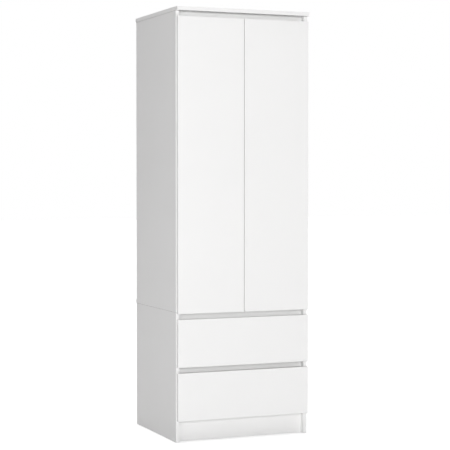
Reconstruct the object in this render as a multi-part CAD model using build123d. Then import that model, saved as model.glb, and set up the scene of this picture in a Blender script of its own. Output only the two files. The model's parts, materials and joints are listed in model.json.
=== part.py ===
from build123d import *
import os

# Tall wardrobe: two hinged doors above two drawers. Millimetres, +Z up, the front faces -Y, +X is to
# the right seen from the front, and the origin is at floor level under the middle of the cabinet.

# Driving dimensions
WIDTH = 600  # over the top and middle panels
DEPTH = 520  # over the top panel
HEIGHT = 1800
BOARD = 16  # laminated chipboard
DRAWER_BOARD = 12  # drawer sides and backs
HARDBOARD = 3  # cabinet backs and drawer bottoms
SIDE_STEP = 1  # the sides stand this far inside the ends of the top and middle panels
TOP_STEP = 1  # the top panel reaches this far ahead of the fronts
BACK_STEP = 3  # the top panel reaches this far behind the backs
FRONT_GAP = 2  # between the carcass and the backs of the doors and drawer fronts
FINGER_GAP = 23.5  # above the doors, above and below the upper drawer front
REVEAL = 2.5  # from the outer face of a side to the outer edge of a front
DOOR_GAP = 3  # between the two doors
RECESS = 26  # rails and plinth stand this far behind the front edges of the sides
LOWER_FRONT = 91  # lower edge of the lower drawer front
DRAWER_FRONT_HEIGHT = 198.5
MIDDLE_LAP = 6  # the doors hang this far below the middle panel's underside
PLINTH_HEIGHT = 96
RAIL_HEIGHT = 58
TOP_RAIL_HEIGHT = 60
GLIDE = 2  # nail-on glides under the sides

# Sides and depths
SIDE_OUT = WIDTH / 2 - SIDE_STEP
SIDE_IN = SIDE_OUT - BOARD
SIDE_MIDDLE = SIDE_OUT - BOARD / 2
FRONT = -DEPTH / 2
BACK = DEPTH / 2
FRONT_FACE = FRONT + TOP_STEP
FRONT_BACK = FRONT_FACE + BOARD
CARCASS_FRONT = FRONT_BACK + FRONT_GAP
BACK_FACE = BACK - BACK_STEP
CARCASS_BACK = BACK_FACE - HARDBOARD
RAIL_FRONT = CARCASS_FRONT + RECESS
RAIL_BACK = RAIL_FRONT + BOARD
RAIL_MIDDLE = RAIL_FRONT + BOARD / 2
FRONT_HALF = SIDE_OUT - REVEAL

# Levels
TOP_UNDERSIDE = HEIGHT - BOARD
DOOR_TOP = TOP_UNDERSIDE - FINGER_GAP
UPPER_FRONT = LOWER_FRONT + DRAWER_FRONT_HEIGHT + FINGER_GAP
DOOR_BOTTOM = UPPER_FRONT + DRAWER_FRONT_HEIGHT + FINGER_GAP
MIDDLE_UNDERSIDE = DOOR_BOTTOM + MIDDLE_LAP
MIDDLE_TOP = MIDDLE_UNDERSIDE + BOARD
BOTTOM_TOP = PLINTH_HEIGHT + BOARD
LOWER_RAIL_TOP = 316

# Drawer boxes and their roller runners; box levels are counted from the box's underside
BOX_ABOVE_FRONT = 33  # underside of the box above the lower edge of its front
BOX_HEIGHT = 120
BOX_BACK = 207
RUNNER_SPACE = 12.5
BOX_HALF = SIDE_IN - RUNNER_SPACE
BOX_INNER = BOX_HALF - DRAWER_BOARD
GROOVE = 6
GROOVE_ABOVE = 8
STEEL = 1.2
TRAVEL_PATH = 10  # rolling radius: roller radius and its play together
ROLLER_PLAY = 0.3
ROLLER_RADIUS = TRAVEL_PATH - ROLLER_PLAY
AXLE_RADIUS = 2.5
AXLE_CLEARANCE = 0.05
CHANNEL_FLOOR = -2  # top of the cabinet runner's lower flange
CHANNEL_ROOF = 18.6  # underside of its upper flange
CHANNEL_LIP = SIDE_IN - 9.6
RUNNER_FRONT = CARCASS_FRONT + 2
RUNNER_BACK = BOX_BACK + 4
FRONT_ROLLER_Y = RUNNER_FRONT + 15
REAR_ROLLER_Y = BOX_BACK - 14
FLANGE_UNDERSIDE = 22  # the drawer runner's upper flange rides on the front roller
DRAWER_RUNNER_SCREW_X = BOX_HALF - 3.5
DRAWER_RUNNER_SCREW_LINES = (-200, -20, 150)

# Doors and their one-pivot cup hinges
HINGE_LEVELS = (DOOR_BOTTOM + 100, (DOOR_BOTTOM + DOOR_TOP) / 2, DOOR_TOP - 100)
PIVOT_X = FRONT_HALF - 5.8
PIVOT_Y = FRONT_BACK - 10
PIN_RADIUS = 1.2
PIN_HALF = 7
PIN_PLAY = 0.1  # at each end of a hinge pin
PIN_CLEARANCE = 0.05  # all round it
CUP_X = FRONT_HALF - 20.5
CUP_RADIUS = 17.4
CUP_BORE = 17.5
CUP_DEPTH = 12.6
CUP_FLANGE = 1.2
POCKET_HALF = 5.2
ARM_HALF = 5
ARM_STEEL = 2
ARM_FACE = SIDE_IN - 4.8  # the arm's side that lies on the mounting plate
ARM_BACK = CARCASS_FRONT + 53
ARM_SCREW_Y = ARM_BACK - 8
PLATE_LINE = CARCASS_FRONT + 37  # line of the mounting plates' screws
PLATE_WING = 2.5
PLATE_SCREW_RISE = 16
CUP_SCREW_RISE = 24
CUP_SCREW_X = CUP_X - 9.5

# Inside the hanging space
SHELF_TOP = 1500
SHELF_FRONT = RAIL_BACK + 1
SHELF_BACK = CARCASS_BACK - 4
SHELF_PLAY = 1
PIN_HOLE_RADIUS = 2.5
PIN_HOLE_DEPTH = 9
PIN_HOLE_STEP = 32
PIN_LINES = (PLATE_LINE + 20, 200)
RAIL_LEVEL = 1440
RAIL_TUBE = (15, 30)  # depth and height of the oval tube
RAIL_WALL = 1.2
SOCKET_PLATE = 3
SOCKET_REACH = 14
SOCKET_SCREW_RISE = 21

# Fixings
CAM_RADIUS = 7.5
CAM_SETBACK = 34
BOLT_RADIUS = 3.5
BOLT_BORE = 4
BORE_LAP = 3  # the bolt's bore runs this far into the pocket of the cam lock
BOLT_THREAD = 2.5
BOLT_BITE = 11
DOWEL_RADIUS = 4
DOWEL_IN_END = 18
DOWEL_IN_FACE = 11

# Pan-head screws: shank radius, shank length, head radius, head height
CUP_SCREW = (1.75, 12, 3.4, 1.6)
PLATE_SCREW = (2.5, 13.5, 3.8, 1.8)
ARM_SCREW = (2, 5.8, 4, 2)
SOCKET_SCREW = (1.75, 14, 3, 1.6)
CHANNEL_SCREW = (2, 13, 3.6, 0.9)
BOX_SCREW = (2, 40, 3.5, 1)
DRAWER_RUNNER_SCREW = (1.5, 14, 3, 1.4)
BOTTOM_SCREW = (1.5, 20, 3, 1)

X = Vector(1, 0, 0)
Y = Vector(0, 1, 0)
Z = Vector(0, 0, 1)


def block(x_range, y_range, z_range):
    """Box between two limits on each axis."""
    size = [high - low for low, high in (x_range, y_range, z_range)]
    centre = [(low + high) / 2 for low, high in (x_range, y_range, z_range)]
    return Pos(*centre) * Box(*size)


def rod(start, end, radius):
    """Round bar between two points."""
    run = Vector(*end) - Vector(*start)
    plane = Plane(origin=start, z_dir=run)
    return plane * Cylinder(radius, run.length, align=(Align.CENTER, Align.CENTER, Align.MIN))


def mirrored(shapes):
    """The right-hand images of left-hand shapes."""
    return [mirror(shape, about=Plane.YZ) for shape in shapes]


def both_sides(shapes):
    """The given left-hand shapes and their mirror images on the right."""
    return list(shapes) + mirrored(shapes)


def flat_prism(points, z_range):
    """Prism with an outline in plan."""
    low, high = z_range
    return Pos(0, 0, low) * extrude(make_face(Polyline(*points, close=True)), amount=high - low)


def section_prism(points, y_range):
    """Prism along Y with an outline given as (x, z)."""
    low, high = y_range
    outline = Plane.XZ * make_face(Polyline(*points, close=True))
    return Pos(0, high, 0) * extrude(outline, amount=high - low)


def cut_all(solid, cutters):
    """The solid with every cutter taken away."""
    for cutter in cutters:
        solid = solid - cutter
    return solid


def save(name, solids):
    """Write one sub-part as a STEP file."""
    export_step(Compound(children=[s for shape in solids for s in shape.solids()]), f"parts/{name}.step")


def cross_recess(at, direction, arm, width):
    """Cutter for a cross-shaped driver recess, centred on a face."""
    return Plane(origin=at, z_dir=direction) * (Box(arm, width, width) + Box(width, arm, width))


def pan_screw(head_at, direction, shank_radius, length, head_radius, head_height):
    """Screw whose head sits on the surface at head_at and whose shank runs along direction."""
    start = Vector(*head_at)
    crown = start - direction * head_height
    head = rod(crown, start, head_radius) - cross_recess(crown, direction, 1.1 * head_radius, 0.8)
    return head + rod(start, start + direction * length, shank_radius)


def screw_hole(mouth, direction, screw, depth):
    """Cutter for the shank of a screw, from a surface inwards."""
    start = Vector(*mouth)
    return rod(start, start + direction * depth, screw[0])


class Joinery:
    """Boards by name, and the cam locks, bolts and dowels that hold them together."""

    def __init__(self):
        self.boards = {}
        self.cuts = {}
        self.cams = []
        self.bolts = []
        self.dowels = []

    def add(self, name, x_range, y_range, z_range):
        self.boards[name] = block(x_range, y_range, z_range)
        self.cuts[name] = []

    def cut(self, name, cutter):
        self.cuts[name].append(cutter)

    def cam(self, cam_board, face_board, point, into, open_side, thickness=BOARD, cam_depth=12.5):
        """Cam lock in cam_board near its end at point, with a bolt going into face_board."""
        point = Vector(*point)
        centre = point - into * CAM_SETBACK
        mouth = centre + open_side * (thickness / 2)
        lock = rod(mouth, mouth - open_side * cam_depth, CAM_RADIUS)
        near_end = point - into * (CAM_SETBACK - CAM_RADIUS)
        far_end = point + into * BOLT_BITE
        self.cams.append(lock - cross_recess(mouth, open_side, CAM_RADIUS, 1.6))
        self.bolts.append(rod(near_end, point, BOLT_RADIUS) + rod(point, far_end, BOLT_THREAD))
        self.cut(cam_board, lock)
        self.cut(cam_board, rod(near_end - into * BORE_LAP, point, BOLT_BORE))
        self.cut(face_board, rod(point, far_end, BOLT_THREAD))

    def dowel(self, end_board, face_board, point, into):
        """Dowel across the joint at point, half in each board."""
        point = Vector(*point)
        peg = rod(point - into * DOWEL_IN_END, point + into * DOWEL_IN_FACE, DOWEL_RADIUS)
        self.dowels.append(peg)
        self.cut(end_board, peg)
        self.cut(face_board, peg)

    def finished(self, name):
        return cut_all(self.boards[name], self.cuts[name])


def carcass_boards():
    """The fixed boards, with the joints between them."""
    work = Joinery()
    between = (-SIDE_IN, SIDE_IN)
    depth = (CARCASS_FRONT, CARCASS_BACK)
    rail_depth = (RAIL_FRONT, RAIL_BACK)
    panel_span = (-WIDTH / 2, WIDTH / 2)
    work.add("top_panel", panel_span, (FRONT, BACK), (TOP_UNDERSIDE, HEIGHT))
    work.add("middle_panel", panel_span, (CARCASS_FRONT, BACK_FACE + 1.5), (MIDDLE_UNDERSIDE, MIDDLE_TOP))
    work.add("bottom_panel", between, depth, (PLINTH_HEIGHT, BOTTOM_TOP))
    work.add("plinth", between, rail_depth, (GLIDE, PLINTH_HEIGHT))
    work.add("top_rail", between, rail_depth, (TOP_UNDERSIDE - TOP_RAIL_HEIGHT, TOP_UNDERSIDE))
    work.add("upper_drawer_rail", between, rail_depth, (MIDDLE_UNDERSIDE - RAIL_HEIGHT, MIDDLE_UNDERSIDE))
    work.add("lower_drawer_rail", between, rail_depth, (LOWER_RAIL_TOP - RAIL_HEIGHT, LOWER_RAIL_TOP))
    for hand, name in ((-1, "left"), (1, "right")):
        span = sorted((hand * SIDE_IN, hand * SIDE_OUT))
        upper = f"upper_{name}_side"
        lower = f"lower_{name}_side"
        work.add(upper, span, depth, (MIDDLE_TOP, TOP_UNDERSIDE))
        work.add(lower, span, depth, (GLIDE, MIDDLE_UNDERSIDE))
        join_sides(work, hand, upper, lower)
        join_cross_boards(work, hand, upper, lower)
        for line in PIN_LINES:
            for step in range(-3, 4):
                level = SHELF_TOP - BOARD - PIN_HOLE_RADIUS + step * PIN_HOLE_STEP
                mouth = (hand * SIDE_IN, line, level)
                end = (hand * (SIDE_IN + PIN_HOLE_DEPTH), line, level)
                work.cut(upper, rod(mouth, end, PIN_HOLE_RADIUS))
    return work


def join_sides(work, hand, upper, lower):
    """Cams and dowels between the sides and the panels that lie across them."""
    middle = hand * SIDE_MIDDLE
    inward = X * -hand
    ends = (
        (upper, "top_panel", TOP_UNDERSIDE, Z, (-160, 200), (-128, 168)),
        (upper, "middle_panel", MIDDLE_TOP, -Z, (-160, 200), (-128, 168)),
        (lower, "middle_panel", MIDDLE_UNDERSIDE, Z, (-144, 184), (-112, 152)),
    )
    for side, panel, level, into, cam_lines, dowel_lines in ends:
        for y in cam_lines:
            work.cam(side, panel, (middle, y, level), into, inward)
        for y in dowel_lines:
            work.dowel(side, panel, (middle, y, level), into)


def join_cross_boards(work, hand, upper, lower):
    """Cams and dowels at the ends of the boards that stand between the sides."""
    outward = X * hand
    end = hand * SIDE_IN
    bottom_level = PLINTH_HEIGHT + BOARD / 2
    for y in (-150, 190):
        work.cam("bottom_panel", lower, (end, y, bottom_level), outward, -Z)
        work.dowel("bottom_panel", lower, (end, y - 32, bottom_level), outward)
    rails = (
        ("plinth", lower, GLIDE, PLINTH_HEIGHT),
        ("lower_drawer_rail", lower, LOWER_RAIL_TOP - RAIL_HEIGHT, LOWER_RAIL_TOP),
        ("upper_drawer_rail", lower, MIDDLE_UNDERSIDE - RAIL_HEIGHT, MIDDLE_UNDERSIDE),
        ("top_rail", upper, TOP_UNDERSIDE - TOP_RAIL_HEIGHT, TOP_UNDERSIDE),
    )
    for rail, side, low, high in rails:
        centre = (low + high) / 2
        work.cam(rail, side, (end, RAIL_MIDDLE, centre), outward, Y)
        for rise in (-16, 16):
            work.dowel(rail, side, (end, RAIL_MIDDLE, centre + rise), outward)


def backs(work):
    """Hardboard backs and the nails that hold them."""
    half = SIDE_OUT - 1
    panels = {
        "upper_back": block((-half, half), (CARCASS_BACK, BACK_FACE), (MIDDLE_TOP, TOP_UNDERSIDE)),
        "lower_back": block((-half, half), (CARCASS_BACK, BACK_FACE), (PLINTH_HEIGHT, MIDDLE_UNDERSIDE)),
    }
    places = []
    for hand in (-1, 1):
        rows = (("upper_back", f"upper_{'left' if hand < 0 else 'right'}_side", 600, 150, 8),
                ("lower_back", f"lower_{'left' if hand < 0 else 'right'}_side", 150, 115, 4))
        for back, side, first, step, count in rows:
            places += [(back, side, hand * SIDE_MIDDLE, first + step * i) for i in range(count)]
    places += [("lower_back", "bottom_panel", x, PLINTH_HEIGHT + BOARD / 2) for x in (-160, 0, 160)]
    nails = []
    for back, board, x, level in places:
        shank = rod((x, BACK_FACE - 21, level), (x, BACK_FACE, level), 0.8)
        nails.append(shank + rod((x, BACK_FACE, level), (x, BACK_FACE + 0.7, level), 2.2))
        panels[back] = panels[back] - shank
        work.cut(board, shank)
    for name, panel in panels.items():
        save(name, [panel])
    save("back_nails", nails)


def shelf_and_pins():
    """Loose shelf and the four pins it lies on."""
    half = SIDE_IN - SHELF_PLAY
    underside = SHELF_TOP - BOARD
    shelf = block((-half, half), (SHELF_FRONT, SHELF_BACK), (underside, SHELF_TOP))
    save("shelf", [shelf])
    pins = []
    for line in PIN_LINES:
        centre = underside - PIN_HOLE_RADIUS
        shank = rod((-SIDE_IN - 8, line, centre), (-SIDE_IN, line, centre), PIN_HOLE_RADIUS)
        collar = rod((-SIDE_IN, line, centre), (-SIDE_IN + 0.8, line, centre), 2.5)
        spoon = block((-SIDE_IN + 0.8, -SIDE_IN + 10), (line - 4, line + 4), (centre + 0.7, underside))
        rib = block((-SIDE_IN + 0.8, -SIDE_IN + 7), (line - 1, line + 1), (centre - 2.5, centre + 0.7))
        pins.append(shank + collar + spoon + rib)
    save("shelf_pins", both_sides(pins))


def oval_prism(depth, height, x_range):
    """Upright oval bar along X: straight flanks with round top and bottom."""
    low, high = x_range
    profile = Plane.YZ * SlotOverall(height, depth, rotation=90)
    return Pos(low, 0, RAIL_LEVEL) * extrude(profile, amount=high - low)


def hanging_rail(work):
    """Oval clothes rail, its two open-topped sockets and their screws."""
    depth, height = RAIL_TUBE
    reach = (-SIDE_IN + 4, SIDE_IN - 4)
    bore = oval_prism(depth - 2 * RAIL_WALL, height - 2 * RAIL_WALL, reach)
    save("hanging_rail", [oval_prism(depth, height, reach) - bore])
    face = -SIDE_IN + SOCKET_PLATE
    mouth = -SIDE_IN + SOCKET_REACH
    plate = oval_prism(depth + 15, height + 24, (-SIDE_IN, face))
    cradle = oval_prism(depth + 6, height + 6, (-SIDE_IN, mouth))
    hollow = oval_prism(depth + 0.6, height + 0.6, (face, mouth))
    lid = block((face, mouth), (-20, 20), (RAIL_LEVEL + 2, RAIL_LEVEL + 40))
    socket = plate + (cradle - hollow - lid)
    screws = []
    for rise in (-SOCKET_SCREW_RISE, SOCKET_SCREW_RISE):
        level = RAIL_LEVEL + rise
        screws.append(pan_screw((face, 0, level), -X, *SOCKET_SCREW))
        socket = socket - screw_hole((face, 0, level), -X, SOCKET_SCREW, SOCKET_PLATE)
        for hand, side in ((-1, "upper_left_side"), (1, "upper_right_side")):
            bite = SOCKET_SCREW[1] - SOCKET_PLATE
            work.cut(side, screw_hole((hand * SIDE_IN, 0, level), X * hand, SOCKET_SCREW, bite))
    save("rail_sockets", both_sides([socket]))
    save("rail_socket_screws", both_sides(screws))


def hinge_cup(level):
    """Cast cup of a left-hand hinge, with a pocket for the arm and holes for its pin."""
    body = rod((-CUP_X, FRONT_BACK, level), (-CUP_X, FRONT_BACK - CUP_DEPTH, level), CUP_RADIUS)
    rim = rod((-CUP_X, FRONT_BACK + CUP_FLANGE, level), (-CUP_X, FRONT_BACK, level), CUP_RADIUS + 1.6)
    ears = block((-CUP_X + 2, -CUP_X + 16), (FRONT_BACK, FRONT_BACK + CUP_FLANGE), (level - 29, level + 29))
    ears = fillet(ears.edges().filter_by(Axis.Y), 5)
    left = -PIVOT_X - 1.4
    right = -CUP_X + 14
    floor = FRONT_BACK - CUP_DEPTH + 0.8
    mouth = FRONT_BACK + CUP_FLANGE
    outline = [(left, floor), (right, floor), (right, mouth), (left - 1, mouth), (left, PIVOT_Y + 3)]
    pocket = flat_prism(outline, (level - POCKET_HALF, level + POCKET_HALF))
    pin_half = PIN_HALF + PIN_PLAY
    pin_ends = [(-PIVOT_X, PIVOT_Y, level + rise) for rise in (-pin_half, pin_half)]
    cup = body + rim + ears - pocket - rod(*pin_ends, PIN_RADIUS + PIN_CLEARANCE)
    for rise in (-CUP_SCREW_RISE, CUP_SCREW_RISE):
        cup = cup - screw_hole((-CUP_SCREW_X, mouth, level + rise), -Y, CUP_SCREW, CUP_FLANGE)
    return cup


def hinge_arm(level):
    """Bent steel arm of a left-hand hinge, with its pin."""
    outer = -ARM_FACE + ARM_STEEL
    low = PIVOT_Y - 1.1
    outline = [
        (-PIVOT_X, low), (outer - 1, low), (outer, low + 1), (outer, ARM_BACK),
        (-ARM_FACE, ARM_BACK), (-ARM_FACE, low + ARM_STEEL), (-PIVOT_X, low + ARM_STEEL),
    ]
    strip = flat_prism(outline, (level - ARM_HALF, level + ARM_HALF))
    pin = rod((-PIVOT_X, PIVOT_Y, level - PIN_HALF), (-PIVOT_X, PIVOT_Y, level + PIN_HALF), PIN_RADIUS)
    return strip + pin - screw_hole((outer, ARM_SCREW_Y, level), -X, ARM_SCREW, ARM_STEEL)


def mounting_plate(level):
    """Cross-shaped plate that carries a hinge arm on the side's inner face."""
    spine = block((-SIDE_IN, -ARM_FACE), (PLATE_LINE - 22, ARM_BACK + 2), (level - 6, level + 6))
    face = -SIDE_IN + PLATE_WING
    wing = block((-SIDE_IN, face), (PLATE_LINE - 7, PLATE_LINE + 7), (level - 22, level + 22))
    wing = fillet(wing.edges().filter_by(Axis.X), 4)
    thread = ARM_SCREW[1] - ARM_STEEL
    plate = spine + wing - screw_hole((-ARM_FACE, ARM_SCREW_Y, level), -X, ARM_SCREW, thread)
    for rise in (-PLATE_SCREW_RISE, PLATE_SCREW_RISE):
        plate = plate - screw_hole((face, PLATE_LINE, level + rise), -X, PLATE_SCREW, PLATE_WING)
    return plate


def door(hand):
    """One door with the bores for its three hinge cups and their screws."""
    span = sorted((hand * DOOR_GAP / 2, hand * FRONT_HALF))
    panel = block(span, (FRONT_FACE, FRONT_BACK), (DOOR_BOTTOM, DOOR_TOP))
    for level in HINGE_LEVELS:
        centre = (hand * CUP_X, FRONT_BACK, level)
        panel = panel - rod(centre, (hand * CUP_X, FRONT_BACK - CUP_DEPTH, level), CUP_BORE)
        for rise in (-CUP_SCREW_RISE, CUP_SCREW_RISE):
            start = (hand * CUP_SCREW_X, FRONT_BACK, level + rise)
            panel = panel - screw_hole(start, -Y, CUP_SCREW, CUP_SCREW[1] - CUP_FLANGE)
    return panel


def doors_and_hinges(work):
    """Doors, hinges, their screws and the buffers that the doors close on."""
    save("left_door", [door(-1)])
    save("right_door", [door(1)])
    cups = [hinge_cup(level) for level in HINGE_LEVELS]
    cup_screws = []
    plate_screws = []
    for level in HINGE_LEVELS:
        for rise in (-CUP_SCREW_RISE, CUP_SCREW_RISE):
            seat = (-CUP_SCREW_X, FRONT_BACK + CUP_FLANGE, level + rise)
            cup_screws.append(pan_screw(seat, -Y, *CUP_SCREW))
        for rise in (-PLATE_SCREW_RISE, PLATE_SCREW_RISE):
            seat = (-SIDE_IN + PLATE_WING, PLATE_LINE, level + rise)
            plate_screws.append(pan_screw(seat, -X, *PLATE_SCREW))
            for hand, side in ((-1, "upper_left_side"), (1, "upper_right_side")):
                mouth = (hand * SIDE_IN, PLATE_LINE, level + rise)
                work.cut(side, screw_hole(mouth, X * hand, PLATE_SCREW, PLATE_SCREW[1] - PLATE_WING))
        plate_screws.append(pan_screw((-ARM_FACE + ARM_STEEL, ARM_SCREW_Y, level), -X, *ARM_SCREW))
    save("left_hinge_cups", cups)
    save("right_hinge_cups", mirrored(cups))
    save("left_cup_screws", cup_screws)
    save("right_cup_screws", mirrored(cup_screws))
    save("hinge_plate_screws", both_sides(plate_screws))
    save("hinge_arms", both_sides([hinge_arm(level) for level in HINGE_LEVELS]))
    save("hinge_mounting_plates", both_sides([mounting_plate(level) for level in HINGE_LEVELS]))
    buffer_level = MIDDLE_UNDERSIDE + BOARD / 2
    buffer = rod((-20, CARCASS_FRONT, buffer_level), (-20, CARCASS_FRONT - 1.6, buffer_level), 4)
    save("door_buffers", both_sides([buffer]))


def cabinet_runner(base):
    """Left-hand channel on the cabinet side, with the axle of its front roller."""
    wall = -SIDE_IN
    inner = wall + STEEL
    lip = -CHANNEL_LIP
    low = base + CHANNEL_FLOOR
    roof = base + CHANNEL_ROOF
    outline = [
        (wall, low - STEEL), (lip, low - STEEL), (lip, low), (inner, low),
        (inner, roof), (lip, roof), (lip, roof + STEEL), (wall, roof + STEEL),
    ]
    channel = section_prism(outline, (RUNNER_FRONT, RUNNER_BACK))
    opening = block((inner, lip + 1), (RUNNER_FRONT - 1, RUNNER_FRONT + 30), (roof - 0.5, roof + STEEL + 1))
    channel = channel - opening
    centre = (FRONT_ROLLER_Y, base + FLANGE_UNDERSIDE - TRAVEL_PATH)
    axle = rod((inner, *centre), (wall + 10, *centre), AXLE_RADIUS)
    head = rod((wall + 10, *centre), (wall + 10.6, *centre), 4)
    return channel, axle + head


def drawer_runner(base):
    """Left-hand runner under the drawer box, with the axle of its rear roller."""
    outer = -BOX_HALF - STEEL
    flange = base + FLANGE_UNDERSIDE
    outline = [
        (outer, base - STEEL), (-BOX_INNER, base - STEEL), (-BOX_INNER, base), (-BOX_HALF, base),
        (-BOX_HALF, flange + STEEL), (outer - 8.5, flange + STEEL), (outer - 8.5, flange), (outer, flange),
    ]
    rail = section_prism(outline, (FRONT_BACK, BOX_BACK))
    centre = (REAR_ROLLER_Y, base + CHANNEL_FLOOR + TRAVEL_PATH)
    shoulder = rod((outer, *centre), (outer - 0.9, *centre), 4)
    axle = rod((outer - 0.9, *centre), (outer - 8.8, *centre), AXLE_RADIUS)
    return rail, shoulder + axle


def roller(x_range, y, level):
    """Roller on an axle along X, with a shallow groove turned in its outer face."""
    low, high = x_range
    wheel = rod((low, y, level), (high, y, level), ROLLER_RADIUS)
    wheel = wheel - rod((low, y, level), (high, y, level), AXLE_RADIUS + AXLE_CLEARANCE)
    dish_ends = [(low, y, level), (low + 0.8, y, level)]
    return wheel - (rod(*dish_ends, 7.5) - rod(*dish_ends, 4.5))


def runners(work, name, base):
    """Both pairs of runners of one drawer; returns the screws in the cabinet sides."""
    channel, front_axle = cabinet_runner(base)
    rail, rear_axle = drawer_runner(base)
    level = base + CHANNEL_FLOOR + TRAVEL_PATH
    screws = []
    for y in (PLATE_LINE, -12, 180):
        seat = (-SIDE_IN + STEEL, y, level)
        screws.append(pan_screw(seat, -X, *CHANNEL_SCREW))
        channel = channel - screw_hole(seat, -X, CHANNEL_SCREW, STEEL)
        for hand, side in ((-1, "lower_left_side"), (1, "lower_right_side")):
            bite = CHANNEL_SCREW[1] - STEEL
            work.cut(side, screw_hole((hand * SIDE_IN, y, level), X * hand, CHANNEL_SCREW, bite))
    front = roller((-SIDE_IN + 1.8, -SIDE_IN + 9.6), FRONT_ROLLER_Y, base + FLANGE_UNDERSIDE - TRAVEL_PATH)
    rear = roller((-BOX_HALF - 9.9, -BOX_HALF - 2.4), REAR_ROLLER_Y, level)
    for y in DRAWER_RUNNER_SCREW_LINES:
        rail = rail - screw_hole((-DRAWER_RUNNER_SCREW_X, y, base - STEEL), Z, DRAWER_RUNNER_SCREW, STEEL)
    save(f"{name}_cabinet_runners", both_sides([channel, front_axle]))
    save(f"{name}_drawer_runners", both_sides([rail, rear_axle]))
    save(f"{name}_front_rollers", both_sides([front]))
    save(f"{name}_rear_rollers", both_sides([rear]))
    return both_sides(screws)


def drawer(name, front_level):
    """One drawer: front, box, hardboard bottom and their fixings."""
    base = front_level + BOX_ABOVE_FRONT
    top = base + BOX_HEIGHT
    groove = (base + GROOVE_ABOVE, base + GROOVE_ABOVE + HARDBOARD)
    work = Joinery()
    work.add("front", (-FRONT_HALF, FRONT_HALF), (FRONT_FACE, FRONT_BACK),
             (front_level, front_level + DRAWER_FRONT_HEIGHT))
    work.add("back", (-BOX_INNER, BOX_INNER), (BOX_BACK - DRAWER_BOARD, BOX_BACK), (groove[1], top))
    bottom_half = BOX_INNER + GROOVE
    work.add("bottom", (-bottom_half, bottom_half), (FRONT_BACK - GROOVE, BOX_BACK), groove)
    work.cut("front", block((-bottom_half, bottom_half), (FRONT_BACK - GROOVE, FRONT_BACK), groove))
    screws = []
    back_middle = BOX_BACK - DRAWER_BOARD / 2
    for hand, side in ((-1, "left_side"), (1, "right_side")):
        length = (FRONT_BACK, BOX_BACK)
        work.add(side, sorted((hand * BOX_INNER, hand * BOX_HALF)), length, (base, top))
        work.cut(side, block(sorted((hand * BOX_INNER, hand * bottom_half)), length, groove))
        middle = hand * (BOX_INNER + DRAWER_BOARD / 2)
        work.cam(side, "front", (middle, FRONT_BACK, base + 75), -Y, X * -hand, DRAWER_BOARD, 9.5)
        for rise in (45, 105):
            work.dowel(side, "front", (middle, FRONT_BACK, base + rise), -Y)
        for rise in (40, 95):
            seat = (hand * BOX_HALF, back_middle, base + rise)
            screws.append(pan_screw(seat, X * -hand, *BOX_SCREW))
            hole = screw_hole(seat, X * -hand, BOX_SCREW, BOX_SCREW[1])
            work.cut(side, hole)
            work.cut("back", hole)
        for y in DRAWER_RUNNER_SCREW_LINES:
            x = hand * DRAWER_RUNNER_SCREW_X
            screws.append(pan_screw((x, y, base - STEEL), Z, *DRAWER_RUNNER_SCREW))
            bite = DRAWER_RUNNER_SCREW[1] - STEEL
            work.cut(side, screw_hole((x, y, base), Z, DRAWER_RUNNER_SCREW, bite))
    for x in (-180, 0, 180):
        seat = (x, back_middle, groove[0])
        screws.append(pan_screw(seat, Z, *BOTTOM_SCREW))
        hole = screw_hole(seat, Z, BOTTOM_SCREW, BOTTOM_SCREW[1])
        work.cut("bottom", hole)
        work.cut("back", hole)
    for board in work.boards:
        save(f"{name}_drawer_{board}", [work.finished(board)])
    save(f"{name}_drawer_cams", work.cams + work.bolts)
    save(f"{name}_drawer_dowels", work.dowels)
    save(f"{name}_drawer_screws", screws)


def glides(work):
    """Nail-on glides under the four lower corners of the sides."""
    feet = []
    for hand, side in ((-1, "lower_left_side"), (1, "lower_right_side")):
        for y in (CARCASS_FRONT + 28, CARCASS_BACK - 28):
            x = hand * SIDE_MIDDLE
            nail = rod((x, y, GLIDE), (x, y, GLIDE + 14), 1)
            disc = rod((x, y, 0), (x, y, GLIDE), 7.5)
            feet.append(disc + nail)
            work.cut(side, nail)
    save("floor_glides", feet)


os.makedirs("parts", exist_ok=True)
work = carcass_boards()
backs(work)
shelf_and_pins()
hanging_rail(work)
doors_and_hinges(work)
runner_screws = []
for drawer_name, front_level in (("upper", UPPER_FRONT), ("lower", LOWER_FRONT)):
    runner_screws += runners(work, drawer_name, front_level + BOX_ABOVE_FRONT)
    drawer(drawer_name, front_level)
glides(work)
save("cabinet_runner_screws", runner_screws)
save("cam_locks", work.cams)
save("cam_bolts", work.bolts)
save("dowels", work.dowels)
for board in work.boards:
    save(board, [work.finished(board)])
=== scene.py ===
import json
import math

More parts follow.
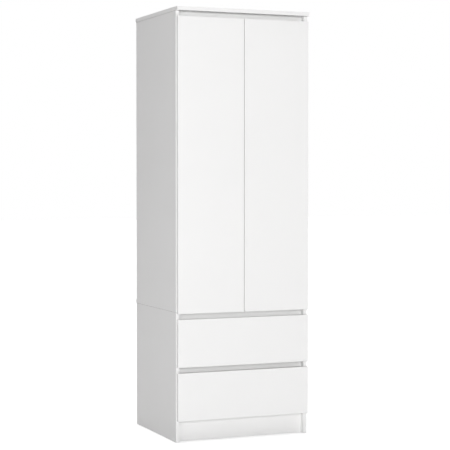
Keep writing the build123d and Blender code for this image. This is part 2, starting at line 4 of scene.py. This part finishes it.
import bmesh
import bpy
from mathutils import Euler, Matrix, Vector


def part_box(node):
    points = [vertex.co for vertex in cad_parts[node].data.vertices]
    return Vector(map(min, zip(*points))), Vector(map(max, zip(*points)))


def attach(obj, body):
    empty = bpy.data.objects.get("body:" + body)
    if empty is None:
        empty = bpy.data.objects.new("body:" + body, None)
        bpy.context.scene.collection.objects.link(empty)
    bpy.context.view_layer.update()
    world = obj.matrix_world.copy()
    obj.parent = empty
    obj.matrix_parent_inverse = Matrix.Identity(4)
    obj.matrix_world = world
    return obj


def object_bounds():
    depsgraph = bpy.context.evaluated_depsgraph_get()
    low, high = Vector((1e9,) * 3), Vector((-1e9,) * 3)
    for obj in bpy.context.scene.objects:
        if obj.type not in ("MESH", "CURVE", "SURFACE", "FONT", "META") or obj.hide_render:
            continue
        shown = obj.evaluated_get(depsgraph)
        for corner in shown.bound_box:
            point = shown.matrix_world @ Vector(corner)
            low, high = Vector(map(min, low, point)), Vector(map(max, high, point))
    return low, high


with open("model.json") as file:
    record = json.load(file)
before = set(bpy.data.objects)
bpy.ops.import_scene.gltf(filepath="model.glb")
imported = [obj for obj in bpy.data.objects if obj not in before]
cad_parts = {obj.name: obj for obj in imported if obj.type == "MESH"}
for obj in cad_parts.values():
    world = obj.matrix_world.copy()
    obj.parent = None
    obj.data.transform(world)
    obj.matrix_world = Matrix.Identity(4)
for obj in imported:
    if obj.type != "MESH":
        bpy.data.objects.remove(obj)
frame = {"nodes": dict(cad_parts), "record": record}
CAD_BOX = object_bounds()
RECORD = frame["record"]
SLOT_OF = {part["node"]: part["material_slot"] for part in RECORD["subparts"]}

# Camera: chest high at the cabinet's left front, tilted slightly down.
# Metres, degrees, and millimetres of lens and sensor.
CAMERA_PLACE = (-2.361, -5.718, 1.0948)
CAMERA_YAW = 22.61
CAMERA_TILT = 1.343
CAMERA_LENS = 113.7
CAMERA_SENSOR = 36
CAMERA_SHIFT_Y = -0.03
CAMERA_REACH = 100  # farthest distance drawn

# Floor and light strengths
FLOOR_SIZE = 60
WORLD_TINT = (1, 0.97, 0.985, 1)
WORLD_LIGHT = 0.18
HIGH_LIGHT = 0.93
MID_LIGHT = 0.45
FRONT_LIGHT = 0.82
TOP_LIGHT = 2.4
BACK_LIGHT = 1.4
FLOOR_GLOW = 0.6  # only the camera sees it

# Board skins, in metres
SKIN = 0.00025  # deeper than this inside a board's box lies the raw core
BAND = 0.0009  # thickness of the plastic edge band
SEAM = 0.00012  # half width of the line between band and face
SEAM_SHADE = (0.62, 0.61, 0.59)
PAINTED_SHADOW_WIDTH = 0.0009  # painted shadow: dark hairline painted where the top of a side meets the panel that lies on it, standing in for the shade in that crease
PAINTED_SHADOW_COLOUR = (0.30, 0.29, 0.28)

# Broken edges, in metres and degrees
BOARD_EDGE = 0.00035
METAL_EDGE = 0.0002
EDGE_SEGMENTS = 2
EDGE_ANGLE = 40  # sharper corners than this are broken
WELD_DISTANCE = 0.00001

# Cover caps over the cam locks
CAP_RADIUS = 0.0087
CAP_THICKNESS = 0.0011
CAP_SIDES = 48
CAP_ROUNDING = 0.55  # share of the thickness that the rounded rim takes
CAP_ROUNDING_STEPS = 6
CAP_DISH = ((0.84, 1.0), (0.80, 0.78), (0.30, 0.70))  # shares of radius and thickness, from the rim inwards
CAM_SIZE_LIMIT = 2.2 * CAP_RADIUS  # larger solids in a node of cam locks take no cap


# ---------------------------------------------------------------- node graph helpers

class Graph:
    """A material's node tree, with one short call for each kind of node."""

    def __init__(self, name):
        self.material = bpy.data.materials.new(name)
        self.material.use_nodes = True
        self.tree = self.material.node_tree
        self.tree.nodes.clear()
        output = self.tree.nodes.new("ShaderNodeOutputMaterial")
        self.shader = self.tree.nodes.new("ShaderNodeBsdfPrincipled")
        self.tree.links.new(self.shader.outputs["BSDF"], output.inputs["Surface"])
        coordinates = self.node("ShaderNodeTexCoord")
        self.place = coordinates.outputs["Object"]
        self.normal = coordinates.outputs["Normal"]

    def node(self, kind, **settings):
        made = self.tree.nodes.new(kind)
        for key, value in settings.items():
            setattr(made, key, value)
        return made

    def feed(self, socket, value):
        """Link a socket, or set a plain number, vector or colour."""
        if isinstance(value, bpy.types.NodeSocket):
            self.tree.links.new(value, socket)
        elif socket.type == "RGBA" and len(value) == 3:
            socket.default_value = (*value, 1)
        else:
            socket.default_value = value

    def set(self, **values):
        """Constant or linked inputs of the shader, with underscores for spaces."""
        for key, value in values.items():
            self.feed(self.shader.inputs[key.replace("_", " ")], value)

    def math(self, operation, a, b=0.0, clamp=False):
        made = self.node("ShaderNodeMath", operation=operation, use_clamp=clamp)
        self.feed(made.inputs[0], a)
        self.feed(made.inputs[1], b)
        return made.outputs[0]

    def near(self, value, target, tolerance):
        """1 where a value lies within a tolerance of its target, else 0."""
        made = self.node("ShaderNodeMath", operation="COMPARE")
        for socket, number in zip(made.inputs, (value, target, tolerance)):
            self.feed(socket, number)
        return made.outputs[0]

    def vector_math(self, operation, a, b):
        made = self.node("ShaderNodeVectorMath", operation=operation)
        self.feed(made.inputs[0], a)
        self.feed(made.inputs[1], b)
        return made.outputs[0]

    def parts(self, vector):
        made = self.node("ShaderNodeSeparateXYZ")
        self.feed(made.inputs[0], vector)
        return made.outputs

    def stretch(self, scale):
        return self.vector_math("MULTIPLY", self.place, scale)

    def noise(self, scale, detail=2.0, roughness=0.5, vector=None, distortion=0.0):
        made = self.node("ShaderNodeTexNoise")
        self.feed(made.inputs["Vector"], vector or self.place)
        made.inputs["Scale"].default_value = scale
        made.inputs["Detail"].default_value = detail
        made.inputs["Roughness"].default_value = roughness
        made.inputs["Distortion"].default_value = distortion
        return made.outputs["Fac"]

    def cells(self, scale, vector):
        """Distance to the middle of the nearest cell."""
        made = self.node("ShaderNodeTexVoronoi")
        self.feed(made.inputs["Vector"], vector)
        made.inputs["Scale"].default_value = scale
        return made.outputs["Distance"]

    def span(self, value, low, high, to_low=0.0, to_high=1.0):
        """A value's place between low and high, clamped and carried over to another range."""
        made = self.node("ShaderNodeMapRange", clamp=True)
        for socket, number in zip(made.inputs, (value, low, high, to_low, to_high)):
            self.feed(socket, number)
        return made.outputs[0]

    def mix(self, factor, a, b):
        made = self.node("ShaderNodeMix", data_type="RGBA")
        self.feed(made.inputs[0], factor)
        self.feed(made.inputs[6], a)
        self.feed(made.inputs[7], b)
        return made.outputs[2]

    def blend(self, factor, a, b):
        made = self.node("ShaderNodeMix", data_type="FLOAT")
        self.feed(made.inputs[0], factor)
        self.feed(made.inputs[2], a)
        self.feed(made.inputs[3], b)
        return made.outputs[0]

    def bump(self, height, strength, distance):
        made = self.node("ShaderNodeBump")
        made.inputs["Strength"].default_value = strength
        made.inputs["Distance"].default_value = distance
        self.feed(made.inputs["Height"], height)
        self.feed(self.shader.inputs["Normal"], made.outputs[0])


# ---------------------------------------------------------------- materials

WHITE = (0.86, 0.86, 0.855)
BAND_WHITE = (0.85, 0.85, 0.846)


def chipboard_colour(g):
    """Raw pressed chips, in the bores and pockets."""
    chips = g.cells(900, g.stretch((1, 1, 2.2)))
    fine = g.noise(2500, 3)
    light = g.mix(fine, (0.42, 0.30, 0.17), (0.66, 0.52, 0.34))
    return g.mix(g.math("MULTIPLY", chips, 1.2, clamp=True), light, (0.50, 0.37, 0.22))


def board_material(name, low, high, painted_shadow_on_top):
    """White melamine-faced board: satin faces, edge bands with a hairline seam, raw chips in the bores, and
    on cabinet sides a painted shadow line at the top.
    """
    g = Graph(name)
    thin = min(range(3), key=lambda i: high[i] - low[i])
    from_low = g.vector_math("SUBTRACT", g.place, low)
    from_high = g.vector_math("SUBTRACT", high, g.place)
    insets = g.parts(g.vector_math("MINIMUM", from_low, from_high))
    across = insets[thin]
    to_edge = g.math("MINIMUM", *[insets[i] for i in range(3) if i != thin])
    core = g.math("GREATER_THAN", g.math("MINIMUM", across, to_edge), SKIN)
    on_band = g.math("LESS_THAN", to_edge, SKIN)
    seam = g.near(to_edge, BAND, SEAM)
    cloud = g.noise(2.3, 3)
    grain = g.noise(1400, 2, 0.6)
    flecks = g.noise(46, 4, 0.62)
    face = g.mix(g.span(cloud, 0.3, 0.7), tuple(0.988 * c for c in WHITE), WHITE)
    face = g.mix(g.span(grain, 0.42, 0.62, 0, 0.10), face, (0.78, 0.78, 0.77))
    face = g.mix(g.math("MULTIPLY", seam, 0.35), face, SEAM_SHADE)
    band = g.mix(g.span(flecks, 0.4, 0.7, 0, 0.3), BAND_WHITE, WHITE)
    skin = g.mix(on_band, face, band)
    # painted shadow: a dark hairline at the top of a side stands in for the shade under the panel lying on
    # it
    if painted_shadow_on_top:
        below_top = g.math("SUBTRACT", high[2], g.parts(g.place)[2])
        skin = g.mix(g.math("LESS_THAN", below_top, PAINTED_SHADOW_WIDTH), skin, PAINTED_SHADOW_COLOUR)
    g.set(Base_Color=g.mix(core, skin, chipboard_colour(g)))
    satin = g.span(flecks, 0.3, 0.75, 0.40, 0.50)
    band_gloss = g.span(cloud, 0.3, 0.7, 0.38, 0.44)
    g.set(Roughness=g.blend(core, g.blend(on_band, satin, band_gloss), 0.9))
    g.set(Specular_IOR_Level=0.4)
    pores = g.math("ADD", g.math("MULTIPLY", grain, 0.35), g.math("MULTIPLY", g.noise(330, 3, 0.55), 0.65))
    g.bump(g.math("SUBTRACT", pores, g.math("MULTIPLY", seam, 1.5)), 0.3, 0.0002)
    return g.material


def hardboard_material(name, shown):
    """Hardboard sheet: white lacquer on the shown side (axis, sign), brown pressed fibre on the other."""
    g = Graph(name)
    axis, sign = shown
    facing = g.math("MULTIPLY", g.parts(g.normal)[axis], sign)
    lacquered = g.math("GREATER_THAN", facing, 0.5)
    fibre = g.noise(260, 6, 0.65, distortion=1.4)
    strands = g.noise(60, 5, 0.7, g.stretch((1, 1, 0.35)), 2.0)
    blotch = g.noise(5, 3)
    brown = g.mix(g.span(fibre, 0.3, 0.72), (0.33, 0.21, 0.115), (0.52, 0.36, 0.215))
    brown = g.mix(g.span(strands, 0.45, 0.7, 0, 0.4), brown, (0.60, 0.44, 0.28))
    brown = g.mix(g.span(blotch, 0.35, 0.7, 0, 0.22), brown, (0.30, 0.19, 0.105))
    white = g.mix(g.span(g.noise(700, 2), 0.4, 0.62, 0, 0.07), WHITE, (0.76, 0.75, 0.72))
    g.set(Base_Color=g.mix(lacquered, brown, white))
    g.set(Roughness=g.blend(lacquered, g.span(fibre, 0.2, 0.8, 0.62, 0.8), 0.45))
    g.set(Specular_IOR_Level=0.35)
    g.bump(g.blend(lacquered, fibre, g.math("MULTIPLY", g.noise(900, 2), 0.25)), 0.3, 0.0003)
    return g.material


def metal_material(name, colour, worn, rough, grain_scale, stretch=(1, 1, 1), strength=0.1):
    """Bare or plated metal with fine streaks and dull patches."""
    g = Graph(name)
    streak = g.noise(grain_scale, 3, 0.6, g.stretch(stretch))
    patch = g.noise(40, 4, 0.6)
    g.set(Base_Color=g.mix(g.span(patch, 0.4, 0.72, 0, 0.5), colour, worn))
    g.set(Metallic=1.0)
    g.set(Roughness=g.span(g.math("ADD", g.math("MULTIPLY", streak, 0.6), g.math("MULTIPLY", patch, 0.4)),
                           0.3, 0.7, rough[0], rough[1]))
    g.bump(streak, strength, 0.0001)
    return g.material


def enamel_material(name):
    """White epoxy powder coat on sheet steel, with orange peel and faint grey rubs."""
    g = Graph(name)
    peel = g.noise(650, 2, 0.4)
    rub = g.noise(25, 5, 0.7, g.stretch((1, 0.15, 1)))
    g.set(Base_Color=g.mix(g.span(rub, 0.58, 0.75, 0, 0.35), (0.84, 0.84, 0.83), (0.62, 0.62, 0.61)))
    g.set(Roughness=g.span(rub, 0.4, 0.7, 0.28, 0.42))
    g.bump(peel, 0.22, 0.0003)
    return g.material


def plastic_material(name, colour, rough, grain=900, glow=0.0):
    """Moulded plastic with a fine eroded texture."""
    g = Graph(name)
    spark = g.noise(grain, 3, 0.6)
    swirl = g.noise(70, 3, 0.5, distortion=0.8)
    darker = tuple(0.93 * c for c in colour)
    g.set(Base_Color=g.mix(g.span(swirl, 0.35, 0.7), colour, darker))
    g.set(Roughness=g.span(spark, 0.3, 0.7, rough - 0.06, rough + 0.06))
    if glow:
        g.set(Subsurface_Weight=glow, Subsurface_Scale=0.002)
    g.bump(spark, 0.15, 0.0002)
    return g.material


def beech_material(name):
    """Beech dowels with long grain and short rays."""
    g = Graph(name)
    grain = g.noise(300, 4, 0.6, g.stretch((0.3, 1, 1)), 0.6)
    rays = g.cells(1800, g.stretch((0.4, 1, 1)))
    wood = g.mix(g.span(grain, 0.3, 0.7), (0.68, 0.49, 0.30), (0.54, 0.36, 0.20))
    g.set(Base_Color=g.mix(g.span(rays, 0.0, 0.25, 0.5, 0.0), wood, (0.42, 0.27, 0.15)))
    g.set(Roughness=g.span(grain, 0.2, 0.8, 0.5, 0.7))
    g.bump(grain, 0.3, 0.0003)
    return g.material


def floor_material():
    """Pale seamless floor. It shows more light than it returns, so the object's shade isn't flattened."""
    g = Graph("pale_floor")
    cloud = g.noise(0.8, 2)
    seen = g.node("ShaderNodeLightPath").outputs["Is Camera Ray"]
    g.set(Base_Color=g.mix(cloud, (0.52, 0.52, 0.52), (0.55, 0.55, 0.55)))
    g.set(Emission_Color=(1, 1, 1), Emission_Strength=g.math("MULTIPLY", seen, FLOOR_GLOW))
    g.set(Roughness=0.9)
    g.set(Specular_IOR_Level=0.0)
    return g.material


# ---------------------------------------------------------------- dressing the CAD nodes

def dress(node, material, edge=None):
    """Give a CAD node its material, and softly broken edges where a width is given."""
    obj = frame["nodes"][node]
    obj.data.materials.clear()
    obj.data.materials.append(material)
    weld = obj.modifiers.new("weld", "WELD")
    weld.merge_threshold = WELD_DISTANCE
    if edge is None:
        return
    bevel = obj.modifiers.new("edge", "BEVEL")
    bevel.width = edge
    bevel.segments = EDGE_SEGMENTS
    bevel.limit_method = "ANGLE"
    bevel.angle_limit = math.radians(EDGE_ANGLE)
    bevel.use_clamp_overlap = True
    bevel.harden_normals = True


def dress_all():
    """Every CAD node gets the material of its slot."""
    shared = {
        "dowel_wood": beech_material("beech"),
        "roller_plastic": plastic_material("nylon", (0.82, 0.82, 0.79), 0.38, 900, 0.3),
        "runner_enamel": enamel_material("runner_enamel"),
        "rail_chrome": metal_material("chrome", (0.80, 0.80, 0.80), (0.72, 0.73, 0.74), (0.05, 0.14), 500,
                                      (0.1, 1, 1), 0.03),
        "hinge_nickel": metal_material("nickel", (0.66, 0.64, 0.60), (0.55, 0.54, 0.52), (0.2, 0.34), 900),
        "cast_zinc": metal_material("zinc", (0.52, 0.53, 0.54), (0.42, 0.43, 0.45), (0.4, 0.6), 1500),
        "plated_steel": metal_material("plated_steel", (0.64, 0.64, 0.62), (0.50, 0.51, 0.52), (0.22, 0.4),
                                       1200),
        "glide_plastic": plastic_material("polyethylene", (0.80, 0.80, 0.78), 0.5),
        "buffer_rubber": plastic_material("buffer", (0.82, 0.83, 0.84), 0.25, 400, 0.5),
    }
    for node, slot in SLOT_OF.items():
        low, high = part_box(node)
        if slot == "white_board":
            # the cabinet's sides take the painted shadow line under the panel on top of them
            painted_shadow_on_top = node.endswith("_side") and "drawer" not in node
            dress(node, board_material("board_" + node, low, high, painted_shadow_on_top), BOARD_EDGE)
        elif slot == "hardboard":
            shown = (2, 1) if "bottom" in node else (1, -1)
            dress(node, hardboard_material("hardboard_" + node, shown))
        else:
            dress(node, shared[slot], METAL_EDGE)


# ---------------------------------------------------------------- cover caps on the cam locks

def solid_boxes(node):
    """Lowest and highest corner of every separate solid in a node."""
    joined = bmesh.new()
    joined.from_mesh(frame["nodes"][node].data)
    bmesh.ops.remove_doubles(joined, verts=joined.verts, dist=WELD_DISTANCE)
    left = set(joined.verts)
    boxes = []
    while left:
        start = left.pop()
        solid = [start]
        for vert in solid:
            for edge in vert.link_edges:
                other = edge.other_vert(vert)
                if other in left:
                    left.discard(other)
                    solid.append(other)
        low = Vector([min(v.co[i] for v in solid) for i in range(3)])
        high = Vector([max(v.co[i] for v in solid) for i in range(3)])
        boxes.append((low, high))
    joined.free()
    return boxes


def cam_places(node):
    """Mouth centre and outward direction of every cam lock in a node, read from its solids."""
    places = []
    for low, high in solid_boxes(node):
        size = high - low
        if max(size) > CAM_SIZE_LIMIT:
            continue
        middle = (low + high) / 2
        axis = min(range(3), key=lambda i: size[i])
        # cams open towards the cabinet's middle, backwards from the rails and down from the bottom panel
        sign = (-math.copysign(1, middle.x), 1, -1)[axis]
        outward = Vector([sign if i == axis else 0 for i in range(3)])
        places.append((middle + outward * size[axis] / 2, outward))
    return sorted(places, key=lambda place: tuple(round(c, 5) for c in place[0]))


def cap_profile():
    """Radius and height of a cap from its rim on the board to its dished middle."""
    rounding = CAP_ROUNDING * CAP_THICKNESS
    rim = [(CAP_RADIUS, 0.0)]
    for step in range(CAP_ROUNDING_STEPS + 1):
        angle = math.pi / 2 * step / CAP_ROUNDING_STEPS
        rim.append((CAP_RADIUS - rounding * (1 - math.cos(angle)),
                    CAP_THICKNESS - rounding * (1 - math.sin(angle))))
    return rim + [(CAP_RADIUS * across, CAP_THICKNESS * up) for across, up in CAP_DISH]


def add_cap(mesh, mouth, outward):
    """One closed cap over the mouth of a cam lock, turned in rings from the profile."""
    turn = outward.to_track_quat("Z", "Y")
    rings = []
    for radius, height in cap_profile():
        ring = []
        for side in range(CAP_SIDES):
            angle = math.tau * side / CAP_SIDES
            local = Vector((radius * math.cos(angle), radius * math.sin(angle), height))
            ring.append(mesh.verts.new(mouth + turn @ local))
        rings.append(ring)
    for lower, upper in zip(rings, rings[1:]):
        for side in range(CAP_SIDES):
            after = (side + 1) % CAP_SIDES
            quad = mesh.faces.new((lower[side], lower[after], upper[after], upper[side]))
            quad.smooth = True
    mesh.faces.new(rings[-1])
    mesh.faces.new(rings[0][::-1])


def cam_caps(name, body, cams, material):
    """Round plastic caps over the cam locks of a node, as one piece that rides on its body."""
    mesh = bmesh.new()
    for mouth, outward in cam_places(cams):
        add_cap(mesh, mouth, outward)
    data = bpy.data.meshes.new(name)
    mesh.to_mesh(data)
    mesh.free()
    caps = bpy.data.objects.new(name, data)
    bpy.context.scene.collection.objects.link(caps)
    data.materials.append(material)
    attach(caps, body)


def all_cam_caps():
    """Caps in the cabinet and in both drawers."""
    material = plastic_material("cap_plastic", (0.84, 0.84, 0.83), 0.36, 700)
    cam_caps("carcass_cam_caps", "carcass", "cam_locks", material)
    for level in ("upper", "lower"):
        cam_caps(f"{level}_drawer_cam_caps", f"{level}_drawer", f"{level}_drawer_cams", material)


# ---------------------------------------------------------------- floor, light and camera

def sun(name, strength, softness, elevation, azimuth):
    """Sun whose light comes from an elevation and an azimuth, counted from the front towards the left."""
    lamp = bpy.data.objects.new(name, bpy.data.lights.new(name, "SUN"))
    lamp.data.energy = strength
    lamp.data.angle = math.radians(softness)
    lamp.rotation_euler = Euler((math.radians(90 - elevation), 0, math.radians(-azimuth)))
    bpy.context.scene.collection.objects.link(lamp)


def softbox(name, strength, size, distance, height, azimuth):
    """Round softbox aimed at the cabinet's middle, at a distance and azimuth from its front."""
    lamp = bpy.data.objects.new(name, bpy.data.lights.new(name, "AREA"))
    lamp.data.shape = "DISK"
    lamp.data.size = size
    lamp.data.energy = strength * math.pi * distance ** 2
    turn = math.radians(azimuth)
    lamp.location = (-distance * math.sin(turn), CAD_BOX[0][1] - distance * math.cos(turn), height)
    middle = Vector((0, CAD_BOX[0][1], CAD_BOX[1][2] / 2))
    lamp.rotation_euler = (middle - lamp.location).to_track_quat("-Z", "Y").to_euler()
    bpy.context.scene.collection.objects.link(lamp)
    lamp.visible_glossy = False  # its mirror image would burn out a side seen at a grazing angle


def light_world():
    """Even light from all round, in front of a white backdrop."""
    world = bpy.data.worlds.new("studio")
    bpy.context.scene.world = world
    world.use_nodes = True
    tree = world.node_tree
    even = tree.nodes["Background"]
    even.inputs["Color"].default_value = WORLD_TINT
    even.inputs["Strength"].default_value = WORLD_LIGHT
    backdrop = tree.nodes.new("ShaderNodeBackground")
    backdrop.inputs["Color"].default_value = (1, 1, 1, 1)
    path = tree.nodes.new("ShaderNodeLightPath")
    either = tree.nodes.new("ShaderNodeMixShader")
    tree.links.new(path.outputs["Is Camera Ray"], either.inputs[0])
    tree.links.new(even.outputs[0], either.inputs[1])
    tree.links.new(backdrop.outputs[0], either.inputs[2])
    tree.links.new(either.outputs[0], tree.nodes["World Output"].inputs["Surface"])


def add_floor():
    """Pale floor under the cabinet."""
    bpy.ops.mesh.primitive_plane_add(size=FLOOR_SIZE, location=(0, 0, 0))
    floor = bpy.context.object
    floor.name = "studio_floor"
    floor.data.materials.append(floor_material())


def add_lights():
    """Soft studio light, mostly from the left front, with fill from above and behind."""
    light_world()
    softbox("high_key", HIGH_LIGHT, size=1.1, distance=6.5, height=1.95, azimuth=26.5)
    softbox("mid_key", MID_LIGHT, size=0.9, distance=5.5, height=1.05, azimuth=26)
    sun("front_fill", FRONT_LIGHT, softness=8, elevation=4.5, azimuth=24.5)
    sun("overhead", TOP_LIGHT, softness=30, elevation=90, azimuth=0)
    sun("back_fill", BACK_LIGHT, softness=40, elevation=8, azimuth=205)


def add_camera():
    """Camera at the cabinet's left front."""
    camera = bpy.data.objects.new("camera", bpy.data.cameras.new("camera"))
    camera.location = CAMERA_PLACE
    camera.rotation_euler = Euler((math.radians(90 - CAMERA_TILT), 0, math.radians(-CAMERA_YAW)))
    camera.data.lens = CAMERA_LENS
    camera.data.sensor_width = CAMERA_SENSOR
    camera.data.shift_y = CAMERA_SHIFT_Y
    camera.data.clip_end = CAMERA_REACH
    bpy.context.scene.collection.objects.link(camera)
    bpy.context.scene.camera = camera
    bpy.context.scene.view_settings.view_transform = "Standard"


dress_all()
all_cam_caps()
add_floor()
add_lights()
add_camera()
